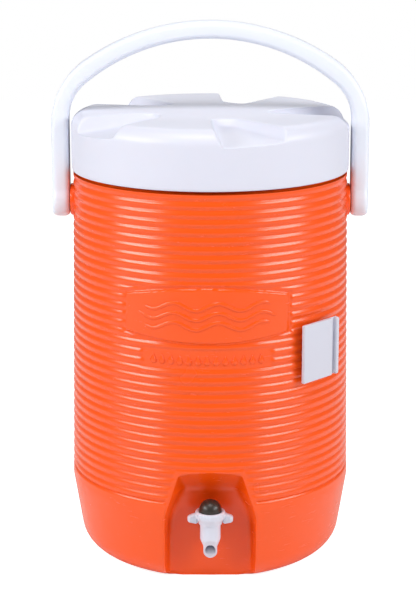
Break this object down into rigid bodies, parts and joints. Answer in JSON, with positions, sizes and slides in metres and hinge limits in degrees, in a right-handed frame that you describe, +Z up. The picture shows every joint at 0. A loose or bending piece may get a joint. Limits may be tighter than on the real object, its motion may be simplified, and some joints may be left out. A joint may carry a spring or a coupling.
{
  "type": "insulated beverage dispenser",
  "caption": "Insulated round drink dispenser with a ribbed body, lift-off lid, swinging bail, cup dispenser bracket and a push-button spigot in a scoop.",
  "frame": {"origin": "centre of the base, on the surface it stands on", "axes": "+Z up along the body's axis; the spigot faces -Y; the bail's pivot axis is along X; +X is the side with the cup dispenser bracket"},
  "size_m": [0.3232, 0.2902, 0.5517],
  "materials": {
    "orange_shell": "satin",
    "white_lid": "satin",
    "white_bail": "satin",
    "white_bracket": "satin",
    "white_tap": "satin",
    "black_button": "satin",
    "white_tank": "satin",
    "white_lid_liner": "satin",
    "insulation_foam": "matte",
    "seal_rubber": "matte",
    "black_rubber": "matte",
    "stem_plastic": "satin",
    "spring_steel": "polished",
    "nut_plastic": "satin"
  },
  "bodies": {
    "cooler": {"outer_shell": "orange_shell", "foam_fill": "insulation_foam", "inner_liner": "white_tank", "cup_bracket": "white_bracket", "faucet_body": "white_tap", "faucet_bonnet": "white_tap", "stem_seal": "black_rubber", "return_spring": "spring_steel", "outer_gasket": "black_rubber", "inner_gasket": "black_rubber", "inner_washer": "nut_plastic", "lock_nut": "nut_plastic"},
    "lid": {"lid_cover": "white_lid", "lid_foam": "insulation_foam", "lid_liner": "white_lid_liner", "lid_seal": "seal_rubber"},
    "bail": {"bail_handle": "white_bail"},
    "button": {"push_button": "black_button", "valve_stem": "stem_plastic", "valve_seal": "seal_rubber", "stem_clip": "stem_plastic"}
  },
  "joints": [
    {"name": "lid_lift", "type": "slide", "parent": "cooler", "child": "lid", "axis": [0, 0, 1], "range_m": [0, 0.009]},
    {"name": "bail_swing", "type": "hinge", "parent": "cooler", "child": "bail", "pos_m": [0, 0, 0.3695], "axis": [1, 0, 0], "range_deg": [-112, 112]},
    {"name": "button_press", "type": "slide", "parent": "cooler", "child": "button", "axis": [0, 0, -1], "range_m": [0, 0.003], "stiffness_N_per_m": 700, "springref_m": -0.004, "deforming": ["return_spring"]}
  ]
}
